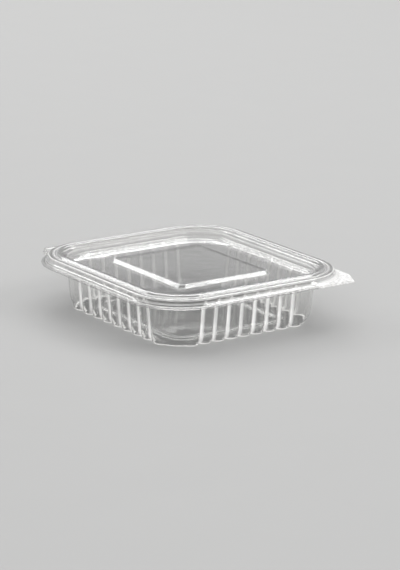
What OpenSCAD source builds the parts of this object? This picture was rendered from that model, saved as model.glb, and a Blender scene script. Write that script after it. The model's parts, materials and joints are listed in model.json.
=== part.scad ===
// Hinged clear food container, thermoformed from one thin sheet: a fluted base and its lid.
// The origin is on the surface that the container stands on, under the middle of the well.
// +Z is up, -Y is the front edge that lifts, +Y is the hinge.

/* [Sheet] */
// Thickness of the formed sheet
sheet = 0.35; // [0.25:0.05:0.45]
// Room between the walls of the closed lid and the base
lid_gap = 0.25; // [0.2:0.05:0.4]
// Room between the lid's flange and the base's flange
flange_gap = 0.2; // [0.15:0.05:0.3]

/* [Well] */
// Width of the well across the flute crests, at the ledge
well_w = 103.6; // [92:0.2:120]
// Depth of the well from front to back across the flute crests, at the ledge
well_d = 112.6; // [98:0.2:130]
// Radius of the well's plain corners, at the ledge
well_corner_r = 18; // [17:0.5:21]
// Height of the ledge on top of the fluted walls
ledge_z = 21.8; // [16:0.2:40]
// Draft of the fluted walls, in degrees
wall_draft = 5.6; // [3:0.2:8]
// Height of the chamfer at the foot of the plain corners
foot_h = 4.5; // [2.5:0.1:6]
// How far that chamfer goes in
foot_in = 3.2; // [2:0.1:4.5]

/* [Flutes] */
// Grooves in the front wall and in the back wall
grooves_across = 8; // [6:1:9]
// Grooves in each side wall
grooves_along = 8; // [7:1:10]
// Depth of the grooves between the flutes
flute_depth = 1.8; // [0.8:0.1:2.2]
// Width of the flat bottom of a groove
groove_land = 0.9; // [0.5:0.1:1.5]
// Height of the chamfer at the foot of the flutes
flute_foot_h = 1.2; // [0.8:0.1:2]
// How far that chamfer goes in
flute_foot_in = 1; // [0.6:0.1:1.6]

/* [Floor ring] */
// Distance of the stiffening ring from the foot
ring_inset = 8.8; // [5:0.1:12]
// Width of the stiffening ring at its foot
ring_w = 4.4; // [3.5:0.1:6]
// Height of the stiffening ring above the floor
ring_h = 1.2; // [0.6:0.1:2]
// Run of the ring's sloping sides
ring_side = 0.9; // [0.5:0.1:1.4]
// Outer corner radius of the stiffening ring
ring_corner_r = 10; // [7:0.5:14]

/* [Rim] */
// Width of the ledge between the flute crests and the plain band above them
ledge_w = 0.8; // [0.6:0.1:2]
// Corner radius of the plain band, which all rings of the rim share a centre with
band_corner_r = 19; // [16.5:0.5:24]
// Height of the slope inside the base's rim
rim_slope_h = 1.4; // [0.8:0.1:2]
// Width of the slope inside the base's rim
rim_slope_w = 3.2; // [2:0.1:4]
// Width of the base's flange outside its skirt
base_flange_w = 3.9; // [3:0.1:6]
// Height of the top of the base's flange
flange_z = 25.6; // [22:0.1:44]

/* [Lid] */
// Height of the lid's outer top edge
lid_edge_z = 30; // [28:0.1:50]
// Distance from the band's outer face to the lid's outer top edge
lid_edge_out = 9.6; // [9.2:0.1:12]
// Depth of the lid's panel below its outer top edge
panel_drop = 4; // [3:0.1:5]
// Depth of the top of the lid's recess wall below the outer top edge
recess_drop = 1.4; // [1:0.1:2]
// Draft of the lid's recess wall, as a run over its height
recess_run = 0.5; // [0.3:0.1:1]
// Width of the crest of the lid's thick bead
bead_w = 2; // [1.6:0.1:2.6]
// Height of the thick bead above the outer top edge
bead_h = 0.9; // [0.5:0.1:1.4]
// Width of the ledge between the fine ridge and the outer top edge
edge_ledge_w = 2.1; // [1.4:0.1:2.6]
// Width of the fine ridge
ridge_w = 0.6; // [0.4:0.1:1]
// Height of the fine ridge
ridge_h = 0.3; // [0.2:0.05:0.5]
// Width of the groove between the ridge and the bead
rim_groove_w = 0.8; // [0.5:0.1:1.2]
// Depth of that groove
rim_groove_d = 0.3; // [0.1:0.05:0.5]
// Depth of the step on the lid's skirt below the outer top edge
skirt_step_drop = 2.4; // [1.8:0.1:3]
// Width of the step on the lid's skirt
skirt_step_w = 0.6; // [0.4:0.1:1]
// How far each part of the skirt leans out
skirt_lean = 0.5; // [0.3:0.1:0.8]
// Width of the lid's flange outside its skirt
lid_flange_w = 1; // [0.6:0.1:1.6]

/* [Plateau] */
// Width of the raised plateau on the lid, at its foot
plateau_w = 60; // [40:1:62]
// Depth of the raised plateau, at its foot
plateau_d = 69.5; // [50:0.5:71]
// Height of the plateau above the panel
plateau_h = 2; // [1:0.1:3]
// Run of the plateau's sloping sides
plateau_run = 1.2; // [0.6:0.1:2]
// Corner radius of the plateau, at its foot
plateau_corner_r = 4; // [3:0.5:10]

/* [Tabs] */
// How much the opening tab's slanted end takes off the front edge
tab_cut_w = 7; // [2:0.5:10]
// How much it takes off the side edge
tab_cut_d = 14; // [6:0.5:20]
// Radius of the tab's two corners
tab_corner_r = 1.5; // [0.5:0.5:3]
// How much smaller the lid's tab is than the base's
lid_tab_inset = 1.1; // [0.5:0.1:2]

/* [Hinge] */
// Length of the hinge along the back
hinge_len = 98; // [70:1:104]
// Width of each hinge bead
hinge_bead_w = 2.6; // [2.2:0.1:4]
// Height of each hinge bead
hinge_bead_h = 2.1; // [1.6:0.1:3]
// Radius of the rounded fold between the two beads
fold_r = 0.3; // [0.2:0.05:0.5]
// Room between the fold and the legs of the lid's bead
fold_gap = 0.2; // [0.1:0.05:0.3]

/* [Hidden] */
$fn = 64;

// Largest turn of one facet of a bend, in degrees
bend_step_angle = 25;
// Share of a straight that the bend at one of its ends may take
bend_room_share = 0.48;
// How far cuts run past the face that they go through
overrun = 1;
// Bend radii of the formed sheet, on the outside of the object
fine_bend = 0.2;
edge_bend = 0.6;
bead_bend = 0.9;
panel_bend = 1;
// Runs of the sides of the bead, the groove and the ridge
bead_side = 0.7;
ridge_side = 0.4;
// Rise of the step on the lid's skirt
skirt_step_rise = 0.4;
// How far the crests of the flutes lie inside the faces of the round corners
seam_step = 0.05;
// How much wider the round of a flute is along the chamfer than up the wall
flute_ease = 0.1;
// Overlap of a formed feature with the flat sheet round it
feature_lap = 1.2;

clear = [0.86, 0.87, 0.86, 0.35];
tint = [0.9, 0.91, 0.9, 0.35];

// Share of its radius by which a round corner stays inside the square one, on the diagonal
corner_share = 1 - cos(45);
// Radius of the well's corners, round enough to stay inside the plain band
corner_r = max(well_corner_r, band_corner_r - (ledge_w - seam_step) / corner_share);

// Corner centres of the well, the rim and the floor ring
well_cx = well_w / 2 - corner_r;
well_cy = well_d / 2 - corner_r;
rim_cx = well_w / 2 + ledge_w - band_corner_r;
rim_cy = well_d / 2 + ledge_w - band_corner_r;

// Reaches of the well's outside from its corner centres, at the foot of its corners and of its flutes
chamfer_reach = corner_r - (ledge_z - foot_h) * tan(wall_draft);
foot_reach = chamfer_reach - foot_in;
corner_line = [[0, 0], [foot_reach, 0], [chamfer_reach, foot_h], [corner_r, ledge_z]];
flute_chamfer = corner_r - (ledge_z - flute_foot_h) * tan(wall_draft);
flute_foot = flute_chamfer - flute_foot_in;
flute_line = [[0, 0], [flute_foot, 0], [flute_chamfer, flute_foot_h], [corner_r, ledge_z]];

ring_cx = well_cx + foot_reach - ring_inset - ring_corner_r;
ring_cy = well_cy + foot_reach - ring_inset - ring_corner_r;
ring_in = ring_corner_r - ring_w;

// Reaches from the rim's corner centres, and heights, of the lid's outside
band_in = band_corner_r - sheet;
recess_top = band_in - lid_gap - sheet;
recess_foot = recess_top - recess_run;
lid_edge = band_corner_r + lid_edge_out;
ridge_out = lid_edge - edge_ledge_w - ridge_side;
ridge_in = ridge_out - ridge_w;
rim_groove_out = ridge_in - ridge_side;
rim_groove_in = rim_groove_out - rim_groove_w;
bead_out = rim_groove_in - bead_side;
bead_in = bead_out - bead_w;
skirt_step = lid_edge + skirt_lean;
skirt_foot = skirt_step + skirt_step_w + skirt_lean;
lid_flange = skirt_foot + lid_flange_w;
panel_z = lid_edge_z - panel_drop;
bead_z = lid_edge_z + bead_h;
ridge_z = lid_edge_z + ridge_h;
rim_groove_z = lid_edge_z - rim_groove_d;
step_z = lid_edge_z - skirt_step_drop;
lid_flange_z = flange_z + flange_gap + sheet;

// The same for the base's rim, which nests under the lid's
base_rim_z = rim_groove_z - sheet - lid_gap;
base_rim_out = lid_edge - sheet - lid_gap;
base_skirt_foot = base_rim_out + skirt_lean;
base_flange = base_skirt_foot + base_flange_w;
flange_half_w = rim_cx + base_flange;
flange_half_d = rim_cy + base_flange;

// The hinge's axis, the faces of its beads and where the flanges run out into them
axis_z = flange_z + flange_gap / 2;
bead_front = rim_cy + skirt_foot + lid_flange_w;
bead_back = bead_front + hinge_bead_w;
axis_y = bead_back + fold_gap + fold_r;
// Reaches at which the tabs and the hinge strips join the flanges
base_join = base_flange - lid_flange_w / 2;
lid_join = lid_flange - lid_flange_w / 2;

// Plan of a corner at the plateau
plateau_cx = plateau_w / 2 - plateau_corner_r;
plateau_cy = plateau_d / 2 - plateau_corner_r;

function unit(v) = v / norm(v);
function right_of(v) = [v[1], -v[0]];
function back_to_front(list) = [for (i = [len(list) - 1 : -1 : 0]) list[i]];

// A line of points moved to its right by a distance
function shifted(line, distance) = [
    for (i = [0 : len(line) - 1])
        let (
            sum = right_of(heading(line, max(i, 1))) + right_of(heading(line, min(i + 1, len(line) - 1)))
        )
        line[i] + distance * sum * 2 / (sum * sum)
];

// Direction of a line as it comes to one of its points
function heading(line, i) = unit(line[i] - line[i - 1]);

// Angle by which a line turns at one of its points, positive to the left
function turn(line, i) =
    let (a = heading(line, i), b = heading(line, i + 1))
    atan2(a[0] * b[1] - a[1] * b[0], a * b);

// The points of a round bend at one of a line's points
function bend(line, i, radius) =
    let (
        angle = turn(line, i),
        room = min(norm(line[i] - line[i - 1]), norm(line[i + 1] - line[i])) * bend_room_share,
        cut = min(radius * tan(abs(angle) / 2), room),
        r = cut / tan(abs(angle) / 2),
        start = line[i] - cut * heading(line, i),
        to_middle = (angle < 0 ? 1 : -1) * right_of(heading(line, i)) * r,
        steps = ceil(abs(angle) / bend_step_angle)
    )
    [for (k = [0 : steps])
        let (turned = angle * k / steps)
        start + to_middle - [
            to_middle[0] * cos(turned) - to_middle[1] * sin(turned),
            to_middle[0] * sin(turned) + to_middle[1] * cos(turned)
        ]];

// A line with a bend of its own radius at each point
function rounded(line, radii) = [
    for (i = [0 : len(line) - 1])
        each radii[i] <= 0 ? [line[i]] : bend(line, i, radii[i])
];

// The section of the sheet whose upper face follows corners of [reach, height, bend radius]
function sheet_section(corners) =
    let (
        line = [for (c = corners) [c[0], c[1]]],
        radii = [for (c = corners) c[2]],
        under_radii = [for (i = [0 : len(line) - 1])
            radii[i] <= 0 ? 0 : radii[i] + (turn(line, i) < 0 ? -sheet : sheet)]
    )
    concat(rounded(line, radii), back_to_front(rounded(shifted(line, sheet), under_radii)));

// Sweeps a section of reaches and heights round a rectangle with round corners
module around(cx, cy) {
    for (i = [0 : 3])
        rotate(90 * i)
            translate(i % 2 == 0 ? [cx, cy, 0] : [cy, cx, 0]) {
                rotate_extrude(angle = 90) children();
                rotate([90, 0, 0]) linear_extrude(2 * (i % 2 == 0 ? cy : cx)) children();
            }
}

// The rectangle inside such a sweep
module middle(cx, cy, z, thickness) {
    translate([-cx, -cy, z]) cube([2 * cx, 2 * cy, thickness]);
}

// Reach of the well's wall at a height, with a face a distance inside the crests
function wall_reach(z, inset) = corner_r - (ledge_z - z) * tan(wall_draft) - inset / cos(wall_draft);

// One flute: a round bar up the wall, cut to a slightly wider one that leans in along the chamfer
module flute(radius, inset, top_z) {
    span = 2 * (top_z + radius);
    foot_r = radius + flute_ease;
    foot_side = foot_r + seam_step;
    foot_lean = atan(flute_foot_in / flute_foot_h);
    intersection() {
        translate([wall_reach(0, radius + seam_step), 0, 0])
            rotate([0, wall_draft, 0])
                cylinder(h = span, r = radius - inset, center = true);
        translate([flute_foot - foot_side / cos(foot_lean), 0, 0])
            rotate([0, foot_lean, 0])
                linear_extrude(span, center = true) {
                    circle(r = foot_r - inset);
                    translate([-span, -foot_side]) square([span, 2 * foot_side]);
                }
    }
}

// One side of the well between its corners: the grooves' bottoms as a prism, and the flutes on it
module fluted_side(cx, length, grooves, inset, top_z) {
    pitch = length / grooves;
    chord = pitch - groove_land;
    flute_r = chord * chord / (8 * flute_depth) + flute_depth / 2;
    land = shifted(flute_line, -inset - flute_depth);
    land_foot = land[1][0] - (land[1][1] - inset) * flute_foot_in / flute_foot_h;
    translate([cx, length / 2 + seam_step, 0])
        rotate([90, 0, 0])
            linear_extrude(length + 2 * seam_step)
                polygon([[-overrun, inset], [land_foot, inset], land[2],
                    [wall_reach(top_z, inset + flute_depth), top_z], [-overrun, top_z]]);
    intersection() {
        translate([cx + corner_r / 2, -length / 2 - pitch, inset])
            cube([corner_r, length + 2 * pitch, top_z - inset]);
        union() {
            for (i = [0 : grooves])
                translate([cx, i * pitch - length / 2, 0]) flute(flute_r, inset, top_z);
        }
    }
}

// The well as a solid, its faces a distance inside the outer ones
module well(inset, top_z) {
    line = shifted(corner_line, -inset);
    middle(well_cx, well_cy, inset, top_z - inset);
    for (i = [0 : 3])
        rotate(90 * i) {
            cx = i % 2 == 0 ? well_cx : well_cy;
            cy = i % 2 == 0 ? well_cy : well_cx;
            translate([cx, cy, 0])
                rotate_extrude(angle = 90)
                    polygon([[0, inset], line[1], line[2], [wall_reach(top_z, inset), top_z], [0, top_z]]);
            fluted_side(cx, 2 * cy, i % 2 == 0 ? grooves_along : grooves_across, inset, top_z);
        }
}

// The stiffening ring formed up into the floor, and the slot that it takes the place of
module floor_ring() {
    top_z = sheet + ring_h;
    corners = [
        [ring_in - feature_lap, sheet, 0],
        [ring_in, sheet, fine_bend],
        [ring_in + ring_side, top_z, edge_bend],
        [ring_corner_r - ring_side, top_z, edge_bend],
        [ring_corner_r, sheet, fine_bend],
        [ring_corner_r + feature_lap, sheet, 0]
    ];
    around(ring_cx, ring_cy) polygon(sheet_section(corners));
}

module floor_ring_slot() {
    around(ring_cx, ring_cy)
        translate([ring_in - feature_lap / 2, -overrun])
            square([ring_w + feature_lap, sheet + 2 * overrun]);
}

// The ledge on top of the flutes, as a plate that the well is then cut from
module ledge() {
    reach = band_in + sheet / 2;
    around(rim_cx, rim_cy) translate([0, ledge_z - sheet]) square([reach, sheet]);
    middle(rim_cx, rim_cy, ledge_z - sheet, sheet);
}

// The plain band, the rim that the lid closes over and the flange
module base_rim() {
    corners = [
        [band_in, ledge_z - sheet, 0],
        [band_in, base_rim_z - rim_slope_h, edge_bend],
        [band_in + rim_slope_w, base_rim_z, bead_bend],
        [base_rim_out, base_rim_z, edge_bend],
        [base_skirt_foot, flange_z, fine_bend],
        [base_flange, flange_z, 0]
    ];
    difference() {
        around(rim_cx, rim_cy) polygon(sheet_section(corners));
        translate([-hinge_len / 2, bead_front + sheet / 2, flange_z - sheet - overrun])
            cube([hinge_len, base_flange_w, sheet + 2 * overrun]);
    }
}

// The plan inside a flange, which its tab and its hinge strip stay out of
module inside_flange(reach) {
    square([2 * (rim_cx + reach), 2 * rim_cy], center = true);
    square([2 * rim_cx, 2 * (rim_cy + reach)], center = true);
    for (x = [-rim_cx, rim_cx])
        for (y = [-rim_cy, rim_cy])
            translate([x, y]) circle(r = reach);
}

// The corner of a flange left square for a finger, with a slanted end
module tab(inset, z, join) {
    right = flange_half_w - inset;
    front = -flange_half_d + inset;
    translate([0, 0, z - sheet])
        linear_extrude(sheet)
            difference() {
                polygon(rounded([[rim_cx, -rim_cy], [right, -rim_cy], [right, front + tab_cut_d],
                    [right - tab_cut_w, front], [rim_cx, front]], [0, 0, tab_corner_r, tab_corner_r, 0]));
                inside_flange(join);
            }
}

// The base's half of the hinge: a strip that squares the flange's back and a bead below it
module hinge_half(join) {
    leg_back = bead_back - sheet;
    strip_d = bead_front - feature_lap / 2 - rim_cy;
    corners = [
        [bead_front - feature_lap, flange_z, 0],
        [bead_front + sheet, flange_z, fine_bend],
        [bead_front + sheet, flange_z - hinge_bead_h + sheet, edge_bend],
        [leg_back, flange_z - hinge_bead_h + sheet, edge_bend],
        [leg_back, flange_z, 0]
    ];
    translate([0, 0, flange_z - sheet])
        linear_extrude(sheet)
            difference() {
                translate([-hinge_len / 2, rim_cy]) square([hinge_len, strip_d]);
                inside_flange(join);
            }
    translate([-hinge_len / 2, 0, 0])
        rotate([90, 0, 90])
            linear_extrude(hinge_len)
                polygon(sheet_section(corners));
}

// The rounded fold that the lid turns on, with the lip that carries it
module fold() {
    translate([-hinge_len / 2, axis_y, axis_z]) rotate([0, 90, 0]) cylinder(h = hinge_len, r = fold_r);
    translate([-hinge_len / 2, bead_back - sheet, flange_z - sheet])
        cube([hinge_len, axis_y - bead_back + sheet, sheet]);
}

module base() {
    color(clear) {
        difference() {
            union() {
                well(0, ledge_z);
                ledge();
            }
            well(sheet, ledge_z + overrun);
            floor_ring_slot();
        }
        floor_ring();
        base_rim();
        tab(0, flange_z, base_join);
        hinge_half(base_join);
        fold();
    }
}

// The lid's panel, recess wall, thick bead, fine ridge, outer edge, stepped skirt and flange
module lid_rim() {
    corners = [
        [0, panel_z, 0],
        [recess_foot, panel_z, panel_bend],
        [recess_top, lid_edge_z - recess_drop, edge_bend],
        [bead_in, bead_z, bead_bend],
        [bead_out, bead_z, bead_bend],
        [rim_groove_in, rim_groove_z, fine_bend],
        [rim_groove_out, rim_groove_z, fine_bend],
        [ridge_in, ridge_z, fine_bend],
        [ridge_out, ridge_z, fine_bend],
        [lid_edge - edge_ledge_w, lid_edge_z, fine_bend],
        [lid_edge, lid_edge_z, edge_bend],
        [skirt_step, step_z, fine_bend],
        [skirt_step + skirt_step_w, step_z - skirt_step_rise, fine_bend],
        [skirt_foot, lid_flange_z, fine_bend],
        [lid_flange, lid_flange_z, 0]
    ];
    around(rim_cx, rim_cy) polygon(sheet_section(corners));
}

// The plateau raised in the middle of the lid's panel
module plateau() {
    top_z = panel_z + plateau_h;
    top_reach = plateau_corner_r - plateau_run;
    corners = [
        [0, top_z, 0],
        [top_reach, top_z, edge_bend],
        [plateau_corner_r, panel_z, fine_bend],
        [plateau_corner_r + feature_lap, panel_z, 0]
    ];
    around(plateau_cx, plateau_cy) polygon(sheet_section(corners));
    middle(plateau_cx, plateau_cy, top_z - sheet, sheet);
}

module panel() {
    difference() {
        middle(rim_cx, rim_cy, panel_z - sheet, sheet);
        around(plateau_cx, plateau_cy)
            translate([0, panel_z - sheet - overrun])
                square([plateau_corner_r + feature_lap / 2, sheet + 2 * overrun]);
        middle(plateau_cx, plateau_cy, panel_z - sheet - overrun, sheet + 2 * overrun);
    }
}

module lid() {
    color(tint) {
        lid_rim();
        panel();
        plateau();
        tab(lid_tab_inset, lid_flange_z, lid_join);
        translate([0, 0, 2 * axis_z]) mirror([0, 0, 1]) hinge_half(lid_join);
    }
}

base();
lid();
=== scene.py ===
"""Clear hinged food container: a fluted tray, its recessed cover and the fold that joins them."""

import json
import math

import bmesh
import bpy
import numpy as np
from mathutils import Matrix, Vector


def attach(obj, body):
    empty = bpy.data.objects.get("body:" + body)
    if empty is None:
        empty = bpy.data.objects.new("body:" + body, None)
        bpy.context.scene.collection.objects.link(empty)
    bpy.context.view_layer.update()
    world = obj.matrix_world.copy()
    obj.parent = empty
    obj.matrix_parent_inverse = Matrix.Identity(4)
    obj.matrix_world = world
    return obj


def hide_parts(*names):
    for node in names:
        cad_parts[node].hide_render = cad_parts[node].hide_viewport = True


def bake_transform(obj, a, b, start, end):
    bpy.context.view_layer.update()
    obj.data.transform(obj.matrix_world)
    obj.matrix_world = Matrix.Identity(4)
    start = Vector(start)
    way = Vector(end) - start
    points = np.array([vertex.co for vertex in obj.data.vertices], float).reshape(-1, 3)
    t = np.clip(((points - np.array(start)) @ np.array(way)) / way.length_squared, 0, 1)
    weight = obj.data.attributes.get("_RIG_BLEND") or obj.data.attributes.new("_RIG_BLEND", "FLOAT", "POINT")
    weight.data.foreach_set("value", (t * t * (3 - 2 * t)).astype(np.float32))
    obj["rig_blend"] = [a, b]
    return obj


bl_info = {
    "name": "Hinged food container",
    "version": (1, 0, 0),
    "blender": (4, 5, 0),
    "location": "View3D > Sidebar > Container",
    "description": "Models a clear formed food container round its CAD frame",
    "category": "Object",
}

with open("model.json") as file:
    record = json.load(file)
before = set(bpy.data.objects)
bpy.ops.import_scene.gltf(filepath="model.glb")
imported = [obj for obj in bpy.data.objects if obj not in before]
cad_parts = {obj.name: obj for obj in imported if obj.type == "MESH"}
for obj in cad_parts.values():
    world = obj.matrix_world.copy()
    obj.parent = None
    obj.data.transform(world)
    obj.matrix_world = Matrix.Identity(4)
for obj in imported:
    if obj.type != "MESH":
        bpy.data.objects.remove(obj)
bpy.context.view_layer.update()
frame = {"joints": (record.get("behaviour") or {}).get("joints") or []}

MM = 0.001
TINY = 1e-6

# Sizes are in millimetres and follow the part's source: the sheet and the room between tray and cover
SHEET = 0.35
LID_GAP = 0.25
FLANGE_GAP = 0.2

# The well at its ledge, and its floor ring with the flat floor to both sides of it
WELL = (103.6, 112.6)
WELL_R = 18.0
LEDGE_Z = 21.8
RING_INSET = 13.7
RING_R = 10.0
RING_W, RING_H, RING_SIDE = 4.4, 1.2, 0.9
RING_MARGINS = (2.6, 2.0)

# The tray's plain band, rim and flange
LEDGE_W = 0.8
BAND_R = 19.0
RIM_SLOPE_W, RIM_SLOPE_H = 3.2, 1.4
FLANGE_Z = 25.6
TRAY_FLANGE_W, TRAY_FLANGE_START = 3.9, 1.5

# The cover from its outer top edge: ridge, groove, thick bead, recess and panel, then down its skirt
EDGE_Z, EDGE_OUT = 30.0, 9.6
EDGE_LEDGE_W = 2.1
RIDGE_W, RIDGE_H, RIDGE_SIDE = 0.6, 0.3, 0.4
RIM_GROOVE_W, RIM_GROOVE_D = 0.8, 0.3
BEAD_W, BEAD_H, BEAD_SIDE = 2.0, 0.9, 0.7
RECESS_DROP, RECESS_RUN = 1.4, 0.5
PANEL_DROP, PANEL_RUN = 4.0, 4.55
SKIRT_LEAN = 0.5
SKIRT_STEP_DROP, SKIRT_STEP_W, SKIRT_STEP_H = 2.4, 0.6, 0.4
COVER_FLANGE_W, COVER_FLANGE_START = 1.0, 0.5

# The raised plateau at its foot
PLATEAU_SIZE = (60.0, 69.5)
PLATEAU_R = 4.0
PLATEAU_H, PLATEAU_RUN = 2.0, 1.2
PLATEAU_MARGINS = (1.8, 2.5)

# The hinge line is the joint's, and both flanges end at the cover's edge along it
HINGE_Y, HINGE_Z = (place / MM for place in frame["joints"][0]["pos_m"][1:])
HINGE_HALF = 49.0
HINGE_BEAD_W, HINGE_BEAD_FALL, HINGE_BEAD_STOP = 2.25, 1.75, 0.2
FOLD_R, FOLD_FLAT = 0.19, 0.75

# The tab at the front corner, and the sweep of the cover's skirt into it with its angles in degrees
TAB_INSET = 1.1
TAB_CUT = (7.0, 14.0)
TAB_ROUND = 1.2
SWEEP = 3.6
SWEEP_FROM, SWEEP_TO, SWEEP_EASE = 280, 350, 15
SWEEP_FALL_SHARE = 0.98

# The small oval snap on the cover's front skirt: its middle across and up, and its half sizes
SNAP = (33.9, 27.6)
SNAP_HALF = (2.2, 0.8)

# Height and depth of the chamfers at the foot, and how softly they run into the wall
CORNER_FOOT = (4.5, 3.2, 0.9)
FLUTE_FOOT = (1.2, 1.0, 0.5)
GROOVE_FOOT = (3.2, 2.2, 0.5)
# The bend from the floor into the foot, the bends at the ledge and the creases of the grooves
FLOOR_REACH = 10.0
FOOT_LIFT, FOOT_RUN = 0.4, 0.5
LEDGE_BEND = 0.35
GROOVE_SOFT = 0.2
# How far the grooves run up into the plain band
GROOVE_RISE = 3.0
# Painted highlight along the grooves and the foot, as strong as on a bend of this many turns to a millimetre
GROOVE_GLINT = 4.4
FOOT_GLINT = 5.0
# From this share of a groove's depth on, its painted highlight dims by up to this share
GROOVE_DIM_SHARES = (0.85, 0.2)

# How finely the sheet is divided: steps round corners and bends, and the heights of the wall's rows
TRAY_CORNER_STEPS, GROOVE_STEPS = 28, 12
COVER_STEPS = 24
FOLD_STEPS = (24, 20)
FOOT_STEPS = LEDGE_STEPS = 4
FOOT_ROWS = (2.0, 0.25)
TOE_ROWS = (2.2, 5.8, 0.45)
WALL_ROWS = (6.6, 7.8, 9.2, 11, 13, 15, 17, 18.6, 19.8, 20.7)
FLANGE_SHARES = (0.35, 0.7, 1.0)
BEND_STEP = math.radians(18)
BEND_ROOM_SHARE = 0.46
SMOOTH_ANGLE = math.radians(50)


def corner_centre(size, radius, out=0.0):
    """Corner centre of a ring: half its width and depth, let out all round, less its corner radius."""
    return tuple(length / 2 + out - radius for length in size)


RING_CENTRE = corner_centre(WELL, RING_R, -RING_INSET)
WELL_CENTRE = corner_centre(WELL, WELL_R)
RIM_CENTRE = corner_centre(WELL, BAND_R, LEDGE_W)
PLATEAU_CENTRE = corner_centre(PLATEAU_SIZE, PLATEAU_R)

# Reaches from the corner centre and heights that follow from the sizes
BAND_IN = BAND_R - SHEET
EDGE_R = BAND_R + EDGE_OUT
TRAY_TOP_R = EDGE_R - SHEET - LID_GAP
TRAY_FOOT_R = TRAY_TOP_R + SKIRT_LEAN
TRAY_EDGE = TRAY_FOOT_R + TRAY_FLANGE_W
RIM_TOP = EDGE_Z - RIM_GROOVE_D - SHEET - LID_GAP
RECESS_R = BAND_IN - LID_GAP - SHEET
RIDGE_R = EDGE_R - EDGE_LEDGE_W - RIDGE_SIDE
GROOVE_R = RIDGE_R - RIDGE_W - RIDGE_SIDE
BEAD_R = GROOVE_R - RIM_GROOVE_W - BEAD_SIDE
STEP_R = EDGE_R + SKIRT_LEAN
SKIRT_R = STEP_R + SKIRT_STEP_W + SKIRT_LEAN
COVER_EDGE = SKIRT_R + COVER_FLANGE_W
HINGE_REACH = COVER_EDGE
PANEL_Z = EDGE_Z - PANEL_DROP
STEP_Z = EDGE_Z - SKIRT_STEP_DROP
COVER_FLANGE_Z = FLANGE_Z + FLANGE_GAP + SHEET
FLANGE_MIDDLE = FLANGE_Z - SHEET / 2
BEAD_BACK = RIM_CENTRE[1] + HINGE_REACH + SHEET / 2

# Sections of the sheet's upper face: reach from the corner centre, height and bend radius
FLOOR_RING = [
    (RING_R - RING_W - RING_MARGINS[0], SHEET, 0),
    (RING_R - RING_W, SHEET, 0.5),
    (RING_R - RING_W + RING_SIDE, SHEET + RING_H, 0.6),
    (RING_R - RING_SIDE, SHEET + RING_H, 0.6),
    (RING_R, SHEET, 0.5),
    (RING_R + RING_MARGINS[1], SHEET, 0),
]
TRAY_RIM = [
    (BAND_IN, FLANGE_Z, 0),
    (BAND_IN, RIM_TOP - RIM_SLOPE_H, 0.7),
    (BAND_IN + RIM_SLOPE_W, RIM_TOP, 1.1),
    (TRAY_TOP_R, RIM_TOP, 0.7),
    (TRAY_FOOT_R, FLANGE_Z, 0.5),
    (TRAY_FOOT_R + TRAY_FLANGE_START, FLANGE_Z, 0),
]
PLATEAU = [
    (PLATEAU_R - PLATEAU_RUN - PLATEAU_MARGINS[0], PANEL_Z + PLATEAU_H, 0),
    (PLATEAU_R - PLATEAU_RUN, PANEL_Z + PLATEAU_H, 0.6),
    (PLATEAU_R, PANEL_Z, 0.5),
    (PLATEAU_R + PLATEAU_MARGINS[1], PANEL_Z, 0),
]
COVER_RIM = [
    (RECESS_R - RECESS_RUN - PANEL_RUN, PANEL_Z, 0),
    (RECESS_R - RECESS_RUN, PANEL_Z, 1.0),
    (RECESS_R, EDGE_Z - RECESS_DROP, 0.6),
    (BEAD_R - BEAD_W, EDGE_Z + BEAD_H, 0.9),
    (BEAD_R, EDGE_Z + BEAD_H, 0.9),
    (GROOVE_R - RIM_GROOVE_W, EDGE_Z - RIM_GROOVE_D, 0.25),
    (GROOVE_R, EDGE_Z - RIM_GROOVE_D, 0.25),
    (RIDGE_R - RIDGE_W, EDGE_Z + RIDGE_H, 0.3),
    (RIDGE_R, EDGE_Z + RIDGE_H, 0.3),
    (RIDGE_R + RIDGE_SIDE, EDGE_Z, 0.25),
    (EDGE_R, EDGE_Z, 0.6),
    (STEP_R, STEP_Z, 0.3),
    (STEP_R + SKIRT_STEP_W, STEP_Z - SKIRT_STEP_H, 0.35),
    (SKIRT_R, COVER_FLANGE_Z, 0.3),
    (SKIRT_R + COVER_FLANGE_START, COVER_FLANGE_Z, 0),
]
# Middle line of the tray's hinge bead, from front to back: place, height and bend radius
HINGE_BEAD = [
    (RIM_CENTRE[1] + HINGE_REACH, FLANGE_MIDDLE, 0),
    (BEAD_BACK, FLANGE_MIDDLE, 0.15),
    (BEAD_BACK, FLANGE_MIDDLE - HINGE_BEAD_FALL, 0.5),
    (BEAD_BACK + HINGE_BEAD_W, FLANGE_MIDDLE - HINGE_BEAD_FALL, 0.5),
    (BEAD_BACK + HINGE_BEAD_W, HINGE_Z - HINGE_BEAD_STOP, 0),
]

# Patterns of the sheet and the floor, with their scales to a metre
WAVES = {"Scale": 70.0, "Detail": 1.5}
HAZE = {"Scale": 260.0, "Detail": 4.0}
STIPPLE = {"Scale": 700.0}
# Stretched noise that varies the strength of the painted highlights along the grooves
STREAK_STRETCH = (420.0, 420.0, 70.0)
STREAKS = {"Scale": 1.0, "Detail": 2.0}
MOTTLE = {"Scale": 30.0, "Detail": 3.0}
# Where the front corner, its tab and its swept skirt begin and are full, and the front skirt with the snap
CORNER_FADE = (0.0, 6 * MM)
TAB_FADE = (30.2 * MM, 31.4 * MM)
SWEPT_FADE = (28.4 * MM, 30.0 * MM)
FRONT_FADE = (20 * MM, 25 * MM)
SNAP_SPREAD, SNAP_FADE = 0.8, (0.0, 0.5)
# How tight a bend begins to take a painted highlight and is full of it, how much painted highlight each
# feature has, and how frosted the stippled tab looks
SOFT_BEND, TIGHT_BEND = (0.5, 3.0), (3.0, 5.0)
SOFT_HIGHLIGHT, STREAK_HIGHLIGHT, TIGHT_HIGHLIGHT = 0.2, 0.9, 0.4
SWEPT_HIGHLIGHT, TAB_WHITE, SNAP_HIGHLIGHT, STIPPLE_WHITE = 0.4, 0.85, 0.5, 0.9
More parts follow.
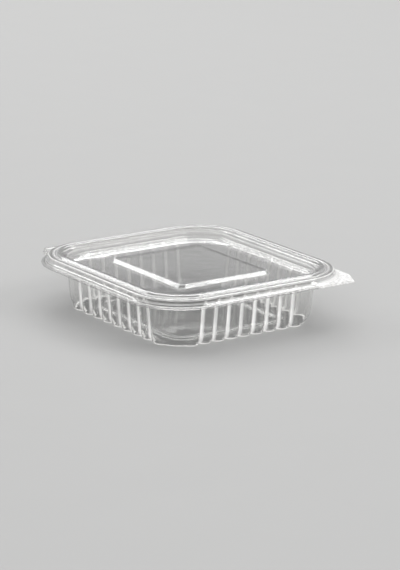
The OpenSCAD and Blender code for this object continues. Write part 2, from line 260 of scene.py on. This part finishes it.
# Relief of the stipple and the snap against the waves, and the strength of it all
STIPPLE_RELIEF, SNAP_RELIEF = 0.6, 1.5
RELIEF = {"Strength": 0.35, "Distance": 0.4 * MM}
# Roughness of the clear sheet, of its painted highlights and frosted tab, and of the floor, each with what
# its pattern adds
CLEAR_ROUGH, CLEAR_HAZE, TAB_ROUGH = 0.03, 0.05, 0.3
WHITE_ROUGH, WHITE_HAZE = 0.25, 0.2
FLOOR_ROUGH, FLOOR_MOTTLE = 0.75, 0.1
SHEET_IOR = 1.53
# Painted glow of the highlights and the tab, though no lamp is there
PAINTED_GLOW = 0.2

# The stage in metres and watts. A light has a name, place, size and power, and may show in the sheet's faces
FLOOR_RADIUS, FLOOR_SIDES = 5.0, 96
LIGHT_AIM = (0.0, 0.0, 0.02)
LIGHTS = (
    ("Top light", (0.35, 0.45, 2.0), (2.6, 2.6), 21.0, True),
    ("Left light", (-1.15, 2.05, 1.42), (1.7, 1.0), 24.0, True),
    ("Right light", (1.45, -1.55, 1.6), (1.3, 1.15), 31.0, True),
    ("Back light", (1.1, 1.63, 1.4), (1.1, 0.8), 14.0, True),
    ("Front light", (-1.7, -2.2, 1.5), (2.0, 1.4), 34.0, False),
)
CAMERA_CLIP = (0.01, 50.0)
CLEAR_BOUNCES, GLOSSY_BOUNCES, SHADOW_BOUNCES = 24, 8, 32


def turned(a, b):
    """Signed angle between two headings, positive to the left."""
    return math.atan2(a[0] * b[1] - a[1] * b[0], a[0] * b[0] + a[1] * b[1])


def heading(p, q):
    """Unit heading from one point to the next."""
    length = math.hypot(q[0] - p[0], q[1] - p[1])
    return ((q[0] - p[0]) / length, (q[1] - p[1]) / length)


def middle_line(corners, sheet):
    """The line half way through the sheet under a section, with round bends."""
    points = [(c[0], c[1]) for c in corners]
    last = len(points) - 1
    headings = [heading(points[i], points[i + 1]) for i in range(last)]
    shifted = []
    for i, (x, y) in enumerate(points):
        a, b = headings[max(i - 1, 0)], headings[min(i, last - 1)]
        n = (a[1] + b[1], -a[0] - b[0])
        k = sheet / (n[0] ** 2 + n[1] ** 2)
        shifted.append((x + n[0] * k, y + n[1] * k))
    line = [shifted[0]]
    for i in range(1, last):
        angle = turned(headings[i - 1], headings[i])
        radius = corners[i][2] + math.copysign(sheet / 2, angle)
        line += bend(shifted[i - 1], shifted[i], shifted[i + 1], max(radius, sheet / 2))
    return line + [shifted[last]]


def bend(before, corner, after, radius):
    """Points of a round bend at a corner, which takes under half of each straight beside it."""
    a, b = heading(before, corner), heading(corner, after)
    angle = turned(a, b)
    room = BEND_ROOM_SHARE * min(math.dist(before, corner), math.dist(corner, after))
    cut = min(radius * math.tan(abs(angle) / 2), room)
    radius = cut / math.tan(abs(angle) / 2)
    side = math.copysign(radius, angle)
    start = (corner[0] - a[0] * cut, corner[1] - a[1] * cut)
    pivot = (start[0] - a[1] * side, start[1] + a[0] * side)
    steps = max(2, math.ceil(abs(angle) / BEND_STEP))
    points = []
    for k in range(steps + 1):
        c, s = math.cos(angle * k / steps), math.sin(angle * k / steps)
        x, y = start[0] - pivot[0], start[1] - pivot[1]
        points.append((pivot[0] + x * c - y * s, pivot[1] + x * s + y * c))
    return points


def smooth_least(a, b, width):
    """The smaller of two lengths, with the crease between them rounded."""
    h = np.maximum(width - np.abs(a - b), 0) / width
    return np.minimum(a, b) - h * h * width / 4


class Round:
    """The places round a rectangle with round corners, at which every ring of a sheet has a point."""

    def __init__(self, corner_steps, across_steps, along_steps, special=()):
        places = []
        for quarter, (sx, sy) in enumerate(((1, 1), (-1, 1), (-1, -1), (1, -1))):
            start, end = quarter * 90, quarter * 90 + 90
            angles = {start + 90 * k / corner_steps for k in range(corner_steps + 1)}
            angles |= {a for a in special if start < a < end}
            places += [(sx, sy, a) for a in sorted(angles)]
            steps = across_steps if quarter % 2 == 0 else along_steps
            for k in range(1, steps):
                share = 1 - 2 * k / steps
                places.append((share * sx, sy, end) if quarter % 2 == 0 else (sx, share * sy, end))
        self.fx, self.fy, self.angle = np.array(places).T
        self.cos, self.sin = np.cos(np.radians(self.angle)), np.sin(np.radians(self.angle))
        self.count = len(places)
        self.corner = (np.abs(self.fx) == 1) & (np.abs(self.fy) == 1)

    def ring(self, centre, reach, z, glint=0.0):
        """Points of one ring in metres, with the painted highlight at each."""
        x = self.fx * centre[0] + reach * self.cos
        y = self.fy * centre[1] + reach * self.sin
        z, glint = np.broadcast_to(z, x.shape), np.broadcast_to(glint, x.shape)
        return np.stack([x * MM, y * MM, z * MM, glint], axis=1)

    def edge(self, reach, tab_inset):
        """Reach of a flange's edge: square at the corner with the tab, straight along the hinge."""
        out = np.full(self.count, float(reach))
        on_hinge = self.on_hinge()
        far = TRAY_EDGE - tab_inset
        slope = np.array([TAB_CUT[1], TAB_CUT[0]]) / math.hypot(*TAB_CUT)
        slant = slope @ np.array([far, far - TAB_CUT[1]])
        for i in range(self.count):
            c, s = self.cos[i], self.sin[i]
            if 270 <= self.angle[i] <= 360 and self.fx[i] == 1 and self.fy[i] == -1:
                side = smooth_least(far / max(c, TINY), far / max(-s, TINY), TAB_ROUND)
                cut = slant / (slope @ np.array([c, -s]))
                out[i] = max(reach, smooth_least(side, cut, TAB_ROUND))
            elif on_hinge[i]:
                out[i] = HINGE_REACH / s
        return out

    def on_hinge(self):
        """True at the places along the hinge."""
        aside = HINGE_REACH * np.abs(self.cos) / np.maximum(self.sin, TINY)
        return (self.fy == 1) & (np.abs(self.fx) * RIM_CENTRE[0] + aside < HINGE_HALF + TINY)


def special_angles(reach, tab_inset):
    """Angles at which a flange's edge has corners: the tab's ends and the hinge's ends."""
    far = TRAY_EDGE - tab_inset
    angles = [
        360 - math.degrees(math.atan2(far - TAB_CUT[1], far)),
        360 - math.degrees(math.atan2(far, far - TAB_CUT[0])),
    ]
    end = HINGE_HALF - RIM_CENTRE[0]
    for a in (math.degrees(math.atan2(HINGE_REACH, end)), math.degrees(math.acos(end / reach))):
        angles += [a, 180 - a]
    return angles


def flutes(round_, counts, depth, land):
    """At each place: the radius of the nearest flute, and how far the wall dips in from the crests."""
    nearest = np.round(round_.angle / 90)
    radius, dips = np.zeros(round_.count), np.zeros(round_.count)
    for i in range(round_.count):
        axis = 1 if nearest[i] % 2 == 0 else 0
        half, grooves = WELL_CENTRE[axis], counts[axis]
        pitch = 2 * half / grooves
        radius[i] = (pitch - land) ** 2 / (8 * depth) + depth / 2
        if not round_.corner[i]:
            run = ((round_.fx, round_.fy)[axis][i] + 1) * half
            off = abs(run / pitch - round(run / pitch)) * pitch
            dip = radius[i] - math.sqrt(radius[i] ** 2 - off**2)
            dips[i] = smooth_least(dip, depth, GROOVE_SOFT)
    return radius, dips


def well_rows(round_, fluting, sheet, draft):
    """Rows from the floor round the foot, up the fluted wall and out over the ledge."""
    radius, dips = fluting
    lean, half = math.tan(draft), sheet / 2
    aside = np.radians(np.abs(round_.angle - 90 * np.round(round_.angle / 90)))
    deep = dips / np.max(dips)
    toe = [low + (high - low) * deep**2 for low, high in zip(FLUTE_FOOT, GROOVE_FOOT)]

    def side(z, foot, depth):
        height, inward, soft = foot
        slope = inward / height
        wall = WELL_R - (LEDGE_Z - z) * lean - (depth + half) / math.cos(draft)
        foot_reach = WELL_R - (LEDGE_Z - height) * lean - inward
        chamfer = foot_reach + z * slope - (depth + half) * np.hypot(1, slope)
        return smooth_least(wall, chamfer, soft)

    def wall(z):
        middle = side(z, FLUTE_FOOT, 0.0) - radius
        off = middle * np.sin(aside)
        last_flute = middle * np.cos(aside) + np.sqrt(np.maximum(radius**2 - off**2, 0))
        last_flute[off > radius] = 0
        corner = np.maximum(side(z, CORNER_FOOT, 0.0), last_flute)
        return np.where(round_.corner, corner, side(z, toe, dips))

    foot = wall(half)
    rows = [round_.ring(WELL_CENTRE, FLOOR_REACH, half)]
    for k in range(FOOT_STEPS):
        t = k / FOOT_STEPS
        bow = (1 - t) ** 2 * (foot - FOOT_RUN) + 2 * t * (1 - t) * foot + t * t * wall(half + FOOT_LIFT)
        rows.append(round_.ring(WELL_CENTRE, bow, half + t * t * FOOT_LIFT, FOOT_GLINT * (t > 0)))
    dim_start, dim_share = GROOVE_DIM_SHARES
    dim = dim_share * np.clip((deep - dim_start) / (1 - dim_start), 0, 1)
    glint = GROOVE_GLINT * deep**2 * (1 - dim)
    for z in (*np.arange(half + FOOT_LIFT, *FOOT_ROWS), *np.arange(*TOE_ROWS), *WALL_ROWS):
        toe_glint = FOOT_GLINT * max(1 - z / FLUTE_FOOT[0], 0)
        rows.append(round_.ring(WELL_CENTRE, wall(z), z, np.maximum(glint, toe_glint)))
    top = LEDGE_Z - half
    start, band = wall(top - LEDGE_BEND), BAND_IN + half
    rise = GROOVE_RISE * deep**2
    turns = np.linspace(0, math.pi / 2, LEDGE_STEPS + 1)
    for a in turns:
        reach, z = start + LEDGE_BEND * (1 - math.cos(a)), top - LEDGE_BEND * (1 - math.sin(a))
        rows.append(round_.ring(WELL_CENTRE, reach, z, glint))
    for a in turns:
        reach, z = band - LEDGE_BEND * (1 - math.sin(a)), top + rise + LEDGE_BEND * (1 - math.cos(a))
        rows.append(round_.ring(RIM_CENTRE, reach, z, glint))
    return rows


def swept_skirt(round_, reach, z):
    """Reach of the cover's skirt, which runs out into the tab in a round sweep at the front corner."""
    if reach < EDGE_R:
        return reach
    fall = min(max((EDGE_Z - z) / (EDGE_Z - COVER_FLANGE_Z), 0.0), SWEEP_FALL_SHARE)
    sweep = EDGE_R + SWEEP * (1 - math.sqrt(1 - fall**2))
    inside = np.minimum(round_.angle - SWEEP_FROM, SWEEP_TO - round_.angle)
    share = np.clip(inside / SWEEP_EASE, 0, 1)
    share = share * share * (3 - 2 * share) * round_.corner
    return reach + share * max(sweep - reach, 0.0)


def edge_rows(round_, last, edge):
    """Rows of a flange from the foot of its skirt out to its edge."""
    reach, z = last
    reach = np.minimum(swept_skirt(round_, reach, z), edge) if z > HINGE_Z else reach
    return [round_.ring(RIM_CENTRE, reach + (edge - reach) * share, z) for share in FLANGE_SHARES]


def bead_rows(edge, line, upside):
    """Rows of a hinge bead, which runs on from a flange's straight back edge."""
    rows = []
    for y, z in line:
        row = edge.copy()
        row[:, 1] = y * MM
        row[:, 2] = (2 * HINGE_Z - z if upside else z) * MM
        rows.append(row)
    return rows


def deselect():
    """Leaves edit mode with nothing selected."""
    if bpy.context.object and bpy.context.object.mode != "OBJECT":
        bpy.ops.object.mode_set(mode="OBJECT")
    bpy.ops.object.select_all(action="DESELECT")


def formed_sheet(name, rows, sheet, hinge_rows, on_hinge):
    """Extrudes a ring of edges from row to row, closes its middle and gives the sheet its thickness."""
    deselect()
    bpy.ops.mesh.primitive_circle_add(vertices=len(rows[0]), radius=MM, fill_type="NOTHING")
    piece = bpy.context.object
    piece.name = piece.data.name = name
    bpy.ops.object.mode_set(mode="EDIT")
    bpy.ops.mesh.select_mode(type="EDGE")
    mesh = bmesh.from_edit_mesh(piece.data)
    place = mesh.verts.layers.int.new("place")
    mesh.verts.layers.float.new("glint")
    for i, v in enumerate(mesh.verts):
        v[place] = i
        v.co = rows[0][i][:3]
    bpy.ops.mesh.select_all(action="SELECT")
    bpy.ops.mesh.edge_face_add()
    for row in rows[1:]:
        extrude_row(piece, row)
    mesh = bmesh.from_edit_mesh(piece.data)
    place = mesh.verts.layers.int["place"]
    for edge in mesh.edges:
        edge.select = edge.select and all(on_hinge[v[place]] for v in edge.verts)
    mesh.select_flush_mode()
    bmesh.update_edit_mesh(piece.data)
    for row in hinge_rows:
        extrude_row(piece, row)
    bpy.ops.mesh.select_all(action="SELECT")
    bpy.ops.mesh.normals_make_consistent(inside=False)
    mark_bends(piece)
    bpy.ops.object.mode_set(mode="OBJECT")
    thicken(piece, sheet)
    return piece


def extrude_row(piece, row):
    """Extrudes the selected edges and puts the new points in their places."""
    bpy.ops.mesh.extrude_edges_move()
    mesh = bmesh.from_edit_mesh(piece.data)
    place, glint = mesh.verts.layers.int["place"], mesh.verts.layers.float["glint"]
    for v in mesh.verts:
        if v.select:
            v.co = row[v[place]][:3]
            v[glint] = row[v[place]][3]
    bmesh.update_edit_mesh(piece.data)


def mark_bends(piece):
    """Marks how tightly the sheet bends at each point, as the strength of a painted highlight in its bends.
    """
    mesh = bmesh.from_edit_mesh(piece.data)
    glint = mesh.verts.layers.float["glint"]
    for v in mesh.verts:
        v[glint] = max(v[glint], *(tightness(edge) for edge in v.link_edges))
    bmesh.update_edit_mesh(piece.data)


def tightness(edge):
    """The bend across an edge, one over its radius in millimetres."""
    if len(edge.link_faces) != 2:
        return 0.0
    middle = (edge.verts[0].co + edge.verts[1].co) / 2
    across = sum((face.calc_center_median() - middle).length for face in edge.link_faces)
    return edge.calc_face_angle(0.0) / (across / MM)


def thicken(piece, sheet):
    """Gives a sheet its thickness to both sides and smooths its bends."""
    solid = piece.modifiers.new("Sheet", "SOLIDIFY")
    solid.thickness = sheet
    solid.offset = 0
    solid.use_even_offset = True
    solid.use_quality_normals = True
    bpy.ops.object.modifier_apply(modifier=solid.name)
    bpy.ops.object.mode_set(mode="EDIT")
    bpy.ops.mesh.select_all(action="SELECT")
    bpy.ops.mesh.normals_make_consistent(inside=False)
    bpy.ops.object.mode_set(mode="OBJECT")
    bpy.ops.object.shade_smooth_by_angle(angle=SMOOTH_ANGLE)


class Value:
    """A number that varies over a surface, with Python's arithmetic."""

    def __init__(self, finish, socket):
        self.finish, self.socket = finish, socket

    def math(self, operation, a, b):
        """Works out two numbers, either of which may vary."""
        return self.finish.value("ShaderNodeMath", {"operation": operation}, {0: a, 1: b})

    def __add__(self, other):
        return self.math("ADD", self, other)

    def __radd__(self, other):
        return self.math("ADD", other, self)

    def __sub__(self, other):
        return self.math("SUBTRACT", self, other)

    def __rsub__(self, other):
        return self.math("SUBTRACT", other, self)

    def __mul__(self, other):
        return self.math("MULTIPLY", self, other)

    def __rmul__(self, other):
        return self.math("MULTIPLY", other, self)

    def __truediv__(self, other):
        return self.math("DIVIDE", self, other)

    def __rtruediv__(self, other):
        return self.math("DIVIDE", other, self)

    def __pow__(self, other):
        return self.math("POWER", self, other)

    def __rpow__(self, other):
        return self.math("POWER", other, self)

    def between(self, low, high):
        """0 below low, 1 above high and a smooth rise between."""
        return self.finish.value(
            "ShaderNodeMapRange", {"interpolation_type": "SMOOTHSTEP"},
            {"Value": self, "From Min": low, "From Max": high},
        )


class Finish:
    """A material's nodes."""

    def __init__(self, name):
        self.material = bpy.data.materials.new(name)
        self.material.use_nodes = True
        self.tree = self.material.node_tree
        self.tree.nodes.clear()

    def node(self, kind, settings=None, sockets=None):
        """Adds a node with its settings, then the values or links of its sockets."""
        node = self.tree.nodes.new(kind)
        for key, setting in (settings or {}).items():
            setattr(node, key, setting)
        for key, given in (sockets or {}).items():
            if isinstance(given, Value):
                given = given.socket
            if isinstance(given, bpy.types.NodeSocket):
                self.tree.links.new(given, node.inputs[key])
            else:
                node.inputs[key].default_value = given
        return node

    def value(self, kind, settings=None, sockets=None, output=0):
        """Adds a node and gives one of its outputs as a number."""
        return Value(self, self.node(kind, settings, sockets).outputs[output])


def clear_sheet(name, colours, snap=False):
    """The glossy clear sheet: faint waves, a little haze, painted highlights with a painted glow on bends
    and grooves, and a stippled tab.
    """
    finish = Finish(name)
    place = finish.node("ShaderNodeTexCoord").outputs["Object"]
    split = finish.node("ShaderNodeSeparateXYZ", sockets={0: place})
    x, y, z = (Value(finish, split.outputs[i]) for i in range(3))
    dx, dy = x - RIM_CENTRE[0] * MM, -RIM_CENTRE[1] * MM - y
    reach = (dx * dx + dy * dy) ** 0.5
    front_corner = dx.between(*CORNER_FADE) * dy.between(*CORNER_FADE)
    tab = reach.between(*TAB_FADE) * front_corner
    swept = reach.between(*SWEPT_FADE) * front_corner
    waves = finish.value("ShaderNodeTexNoise", None, {"Vector": place, **WAVES})
    haze = finish.value("ShaderNodeTexNoise", None, {"Vector": place, **HAZE})
    stipple = finish.value("ShaderNodeTexVoronoi", None, {"Vector": place, **STIPPLE})
    tall = finish.node("ShaderNodeMapping", None, {"Vector": place, "Scale": STREAK_STRETCH})
    streaks = finish.value("ShaderNodeTexNoise", None, {"Vector": tall.outputs[0], **STREAKS})
    height = waves + stipple * tab * STIPPLE_RELIEF
    glint = finish.value("ShaderNodeAttribute", {"attribute_name": "glint"}, output="Fac")
    # Painted highlights on the bends, grooves and foot, varied by the streaks
    bright = glint.between(*SOFT_BEND) * (SOFT_HIGHLIGHT + streaks * STREAK_HIGHLIGHT)
    bright = bright + glint.between(*TIGHT_BEND) * TIGHT_HIGHLIGHT
    # Painted highlight on the swept skirt, then the tab's frosted look
    bright = bright + swept * (1.0 - tab) * SWEPT_HIGHLIGHT + tab * TAB_WHITE
    if snap:
        across, up = (x / MM - SNAP[0]) / SNAP_HALF[0], (z / MM - SNAP[1]) / SNAP_HALF[1]
        oval = (1.0 - (across * across + up * up) ** 0.5 * SNAP_SPREAD).between(*SNAP_FADE)
        oval = oval * dy.between(*FRONT_FADE)
        # The snap's bump, and a painted highlight on it
        height, bright = height + oval * SNAP_RELIEF, bright + oval * SNAP_HIGHLIGHT
    normal = finish.node("ShaderNodeBump", None, {"Height": height, **RELIEF}).outputs["Normal"]
    plastic = finish.node("ShaderNodeBsdfPrincipled", None, {
        "Base Color": colours.sheet,
        "Roughness": CLEAR_ROUGH + haze * CLEAR_HAZE + tab * TAB_ROUGH,
        "IOR": SHEET_IOR,
        "Transmission Weight": 1.0,
        "Normal": normal,
    })
    # Colour of the painted highlights, and the tab's frosted colour between its stipples
    highlight_and_frost_colour = finish.node("ShaderNodeMix", {"data_type": "RGBA"}, {
        "Factor": tab * (1.0 - stipple * STIPPLE_WHITE), "A": colours.bends, "B": colours.tab})
    # Shader for the painted highlights and the frosted tab, with a painted glow though no lamp is there
    highlight_and_frost_shader = finish.node("ShaderNodeBsdfPrincipled", None, {
        "Base Color": highlight_and_frost_colour.outputs["Result"],
        "Roughness": WHITE_ROUGH + haze * WHITE_HAZE,
        "Emission Color": colours.bends,
        "Emission Strength": PAINTED_GLOW,
        "Normal": normal,
    })
    sheet = finish.node("ShaderNodeMixShader", None, {
        0: bright, 1: plastic.outputs[0], 2: highlight_and_frost_shader.outputs[0]})
    lit = finish.node("ShaderNodeBsdfTransparent", None, {"Color": colours.shade})
    ray = finish.node("ShaderNodeLightPath").outputs["Is Shadow Ray"]
    mixed = finish.node("ShaderNodeMixShader", None, {0: ray, 1: sheet.outputs[0], 2: lit.outputs[0]})
    finish.node("ShaderNodeOutputMaterial", None, {"Surface": mixed.outputs[0]})
    return finish.material


def studio_floor(colour):
    """The plain pale floor, with a faint unevenness."""
    finish = Finish("Studio floor")
    place = finish.node("ShaderNodeTexCoord").outputs["Object"]
    mottle = finish.value("ShaderNodeTexNoise", None, {"Vector": place, **MOTTLE})
    matt = finish.node("ShaderNodeBsdfPrincipled", None, {
        "Base Color": colour, "Roughness": FLOOR_ROUGH + mottle * FLOOR_MOTTLE})
    finish.node("ShaderNodeOutputMaterial", None, {"Surface": matt.outputs[0]})
    return finish.material


class SheetSizes(bpy.types.PropertyGroup):
    """Sizes of the formed sheet that a user would change."""

    thickness: bpy.props.FloatProperty(
        name="Sheet", description="Thickness of the sheet", default=SHEET * MM,
        min=0.2 * MM, max=0.5 * MM, precision=5, unit="LENGTH")
    flute_depth: bpy.props.FloatProperty(
        name="Flute depth", description="Depth of the grooves between the flutes", default=1.8 * MM,
        precision=4, unit="LENGTH")
    groove_land: bpy.props.FloatProperty(
        name="Groove", description="Width of the bottom of a groove", default=0.9 * MM,
        precision=4, unit="LENGTH")
    grooves_across: bpy.props.IntProperty(
        name="Grooves across", description="Grooves in the front and back walls", default=8,
        subtype="UNSIGNED")
    grooves_along: bpy.props.IntProperty(
        name="Grooves along", description="Grooves in the side walls", default=8, subtype="UNSIGNED")
    draft: bpy.props.FloatProperty(
        name="Draft", description="Lean of the walls", default=math.radians(5.6), subtype="ANGLE")
    fold: bpy.props.FloatProperty(
        name="Fold", description="Thickness of the sheet where it folds", default=0.2 * MM,
        precision=5, unit="LENGTH")


class SheetColours(bpy.types.PropertyGroup):
    """Colours of the clear sheet, the floor and the room."""

    sheet: bpy.props.FloatVectorProperty(
        name="Sheet", description="Tint of the clear sheet", subtype="COLOR", size=4,
        default=(0.93, 0.93, 0.925, 1.0))
    # Colour of the painted highlights on bends and grooves, and of their painted glow
    bends: bpy.props.FloatVectorProperty(
        name="Bends", description="Colour of the light gathered in the bends", subtype="COLOR", size=4,
        default=(0.97, 0.965, 0.955, 1.0))
    tab: bpy.props.FloatVectorProperty(
        name="Tab", description="Colour between the stipples of the tab", subtype="COLOR", size=4,
        default=(0.25, 0.25, 0.245, 1.0))
    shade: bpy.props.FloatVectorProperty(
        name="Shadow", description="Light that one face of the sheet lets through", subtype="COLOR",
        size=4, default=(0.88, 0.88, 0.88, 1.0))
    floor: bpy.props.FloatVectorProperty(
        name="Floor", description="Colour of the studio floor", subtype="COLOR", size=4,
        default=(0.46, 0.46, 0.455, 1.0))
    room: bpy.props.FloatVectorProperty(
        name="Room", description="Colour of the light from all round", subtype="COLOR", size=4,
        default=(0.24, 0.24, 0.245, 1.0))


class StudioSettings(bpy.types.PropertyGroup):
    """The camera's place and lens."""

    azimuth: bpy.props.FloatProperty(
        name="Azimuth", description="Camera's angle round the container",
        default=math.radians(-35.261), subtype="ANGLE")
    elevation: bpy.props.FloatProperty(
        name="Elevation", description="Camera's angle above the floor",
        default=math.radians(15.566), subtype="ANGLE")
    roll: bpy.props.FloatProperty(
        name="Roll", description="Camera's turn about its own axis",
        default=math.radians(0.811), subtype="ANGLE")
    distance: bpy.props.FloatProperty(
        name="Distance", description="Camera's distance from its aim", default=1.49261, unit="LENGTH")
    aim: bpy.props.FloatVectorProperty(
        name="Aim", description="Aim to the right of and above the middle of the lid's edge", size=2,
        default=(0.0054, -0.013556), unit="LENGTH")
    lens: bpy.props.FloatProperty(
        name="Lens", description="Focal length of the camera in millimetres", default=172.669,
        unit="CAMERA")


class CONTAINER_OT_tray(bpy.types.Operator):
    """Models the fluted tray with its floor ring, rim, flange, tab and lower hinge bead"""

    bl_idname = "container.tray"
    bl_label = "Tray"

    def execute(self, context):
        sizes = context.scene.sheet_sizes
        sheet, depth, land = (v / MM for v in (sizes.thickness, sizes.flute_depth, sizes.groove_land))
        counts = (sizes.grooves_across, sizes.grooves_along)
        steps = (count * GROOVE_STEPS for count in counts)
        round_ = Round(TRAY_CORNER_STEPS, *steps, special_angles(TRAY_EDGE, 0.0))
        rows = [round_.ring(RING_CENTRE, r, z) for r, z in middle_line(FLOOR_RING, sheet)]
        rows += well_rows(round_, flutes(round_, counts, depth, land), sheet, sizes.draft)
        rim = middle_line(TRAY_RIM, sheet)
        rows += [round_.ring(RIM_CENTRE, r, z) for r, z in rim]
        rows += edge_rows(round_, rim[-1], round_.edge(TRAY_EDGE, 0.0))
        bead = bead_rows(rows[-1], middle_line(HINGE_BEAD, 0.0)[1:], False)
        tray = formed_sheet("tray", rows, sizes.thickness, bead, round_.on_hinge())
        tray.data.materials.append(clear_sheet("Clear tray sheet", context.scene.sheet_colours))
        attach(tray, "base")
        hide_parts("base")
        return {"FINISHED"}


class CONTAINER_OT_cover(bpy.types.Operator):
    """Models the recessed cover with its plateau, bead, ridge, stepped skirt, tab and hinge bead"""

    bl_idname = "container.cover"
    bl_label = "Cover"

    def execute(self, context):
        sizes, colours = context.scene.sheet_sizes, context.scene.sheet_colours
        sheet = sizes.thickness / MM
        round_ = Round(COVER_STEPS, COVER_STEPS, COVER_STEPS, special_angles(COVER_EDGE, TAB_INSET))
        rows = [round_.ring(PLATEAU_CENTRE, r, z) for r, z in middle_line(PLATEAU, sheet)]
        rim = middle_line(COVER_RIM, sheet)
        rows += [round_.ring(RIM_CENTRE, swept_skirt(round_, r, z), z) for r, z in rim]
        rows += edge_rows(round_, rim[-1], round_.edge(COVER_EDGE, TAB_INSET))
        bead = bead_rows(rows[-1], middle_line(HINGE_BEAD, 0.0)[1:], True)
        cover = formed_sheet("cover", rows, sizes.thickness, bead, round_.on_hinge())
        cover.data.materials.append(clear_sheet("Clear cover sheet", colours, snap=True))
        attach(cover, "lid")
        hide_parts("lid")
        return {"FINISHED"}


class CONTAINER_OT_fold(bpy.types.Operator):
    """Models the thin fold of the sheet that the cover turns on"""

    bl_idname = "container.fold"
    bl_label = "Fold"

    def execute(self, context):
        sizes = context.scene.sheet_sizes
        back = HINGE_Y - FOLD_FLAT
        deselect()
        bpy.ops.mesh.primitive_grid_add(
            x_subdivisions=FOLD_STEPS[0], y_subdivisions=FOLD_STEPS[1], size=1.0)
        fold = bpy.context.object
        fold.name = fold.data.name = "hinge_fold"
        total = 2 * FOLD_FLAT + math.pi * FOLD_R
        for v in fold.data.vertices:
            run = (v.co.y + 0.5) * total
            x = v.co.x * 2 * HINGE_HALF
            if run < FOLD_FLAT:
                y, z = back + run, HINGE_Z - FOLD_R
            elif run > total - FOLD_FLAT:
                y, z = back + total - run, HINGE_Z + FOLD_R
            else:
                a = (run - FOLD_FLAT) / FOLD_R
                y, z = HINGE_Y + FOLD_R * math.sin(a), HINGE_Z - FOLD_R * math.cos(a)
            v.co = (x * MM, y * MM, z * MM)
        thicken(fold, sizes.fold)
        fold.data.materials.append(clear_sheet("Clear fold", context.scene.sheet_colours))
        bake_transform(fold, "base", "lid", start=(0, HINGE_Y * MM, (HINGE_Z - FOLD_R) * MM),
                 end=(0, HINGE_Y * MM, (HINGE_Z + FOLD_R) * MM))
        return {"FINISHED"}


class CONTAINER_OT_stage(bpy.types.Operator):
    """Sets the floor, the soft lights and the camera"""

    bl_idname = "container.stage"
    bl_label = "Stage"

    def execute(self, context):
        scene = context.scene
        deselect()
        bpy.ops.mesh.primitive_circle_add(vertices=FLOOR_SIDES, radius=FLOOR_RADIUS, fill_type="NGON")
        floor = bpy.context.object
        floor.name = "floor"
        floor.data.materials.append(studio_floor(scene.sheet_colours.floor))
        world = bpy.data.worlds.new("Studio")
        world.use_nodes = True
        background = world.node_tree.nodes["Background"]
        background.inputs["Color"].default_value = scene.sheet_colours.room
        background.inputs["Strength"].default_value = 1.0
        scene.world = world
        for light in LIGHTS:
            self.light(scene, *light)
        self.camera(scene)
        scene.view_settings.view_transform = "Standard"
        scene.cycles.max_bounces = scene.cycles.transmission_bounces = CLEAR_BOUNCES
        scene.cycles.glossy_bounces = GLOSSY_BOUNCES
        scene.cycles.transparent_max_bounces = SHADOW_BOUNCES
        scene.cycles.caustics_refractive = scene.cycles.caustics_reflective = False
        return {"FINISHED"}

    def light(self, scene, name, place, size, power, mirrored):
        """Hangs one soft light, turned to the container."""
        lamp = bpy.data.lights.new(name, "AREA")
        lamp.shape = "RECTANGLE"
        lamp.size, lamp.size_y = size
        lamp.energy = power
        light = bpy.data.objects.new(name, lamp)
        scene.collection.objects.link(light)
        light.location = place
        light.visible_camera = False
        light.visible_glossy = light.visible_transmission = mirrored
        light.rotation_euler = (Vector(LIGHT_AIM) - Vector(place)).to_track_quat("-Z", "Y").to_euler()

    def camera(self, scene):
        """Puts the camera at the photograph's viewing angle."""
        studio = scene.studio_settings
        a, e, r = studio.azimuth, studio.elevation, studio.roll
        back = Vector((math.sin(a) * math.cos(e), -math.cos(a) * math.cos(e), math.sin(e)))
        level = Vector((math.cos(a), math.sin(a), 0))
        upright = back.cross(level)
        right = math.cos(r) * level + math.sin(r) * upright
        up = math.cos(r) * upright - math.sin(r) * level
        lens = bpy.data.cameras.new("Camera")
        lens.lens = studio.lens
        lens.clip_start, lens.clip_end = CAMERA_CLIP
        camera = bpy.data.objects.new("Camera", lens)
        scene.collection.objects.link(camera)
        middle = Vector((0, 0, EDGE_Z * MM))
        spot = middle + right * studio.aim[0] + up * studio.aim[1] + back * studio.distance
        camera.matrix_world = Matrix.Translation(spot) @ Matrix((right, up, back)).transposed().to_4x4()
        scene.camera = camera


class CONTAINER_PT_parts(bpy.types.Panel):
    """Lists the container's pieces and settings"""

    bl_idname = "CONTAINER_PT_parts"
    bl_label = "Food container"
    bl_space_type = "VIEW_3D"
    bl_region_type = "UI"
    bl_category = "Container"

    def draw(self, context):
        for operator in OPERATORS:
            self.layout.operator(operator.bl_idname)
        for group in ("sheet_sizes", "sheet_colours", "studio_settings"):
            settings = getattr(context.scene, group)
            for name in settings.bl_rna.properties.keys():
                if name not in ("rna_type", "name"):
                    self.layout.prop(settings, name)


OPERATORS = (CONTAINER_OT_tray, CONTAINER_OT_cover, CONTAINER_OT_fold, CONTAINER_OT_stage)
GROUPS = (SheetSizes, SheetColours, StudioSettings)


def register():
    for kind in (*GROUPS, *OPERATORS, CONTAINER_PT_parts):
        bpy.utils.register_class(kind)
    bpy.types.Scene.sheet_sizes = bpy.props.PointerProperty(type=SheetSizes)
    bpy.types.Scene.sheet_colours = bpy.props.PointerProperty(type=SheetColours)
    bpy.types.Scene.studio_settings = bpy.props.PointerProperty(type=StudioSettings)


def unregister():
    del bpy.types.Scene.studio_settings, bpy.types.Scene.sheet_colours, bpy.types.Scene.sheet_sizes
    for kind in reversed((*GROUPS, *OPERATORS, CONTAINER_PT_parts)):
        bpy.utils.unregister_class(kind)


def main():
    """Models the pieces in order."""
    register()
    bpy.ops.container.tray()
    bpy.ops.container.cover()
    bpy.ops.container.fold()
    bpy.ops.container.stage()


if __name__ == "__main__":
    main()
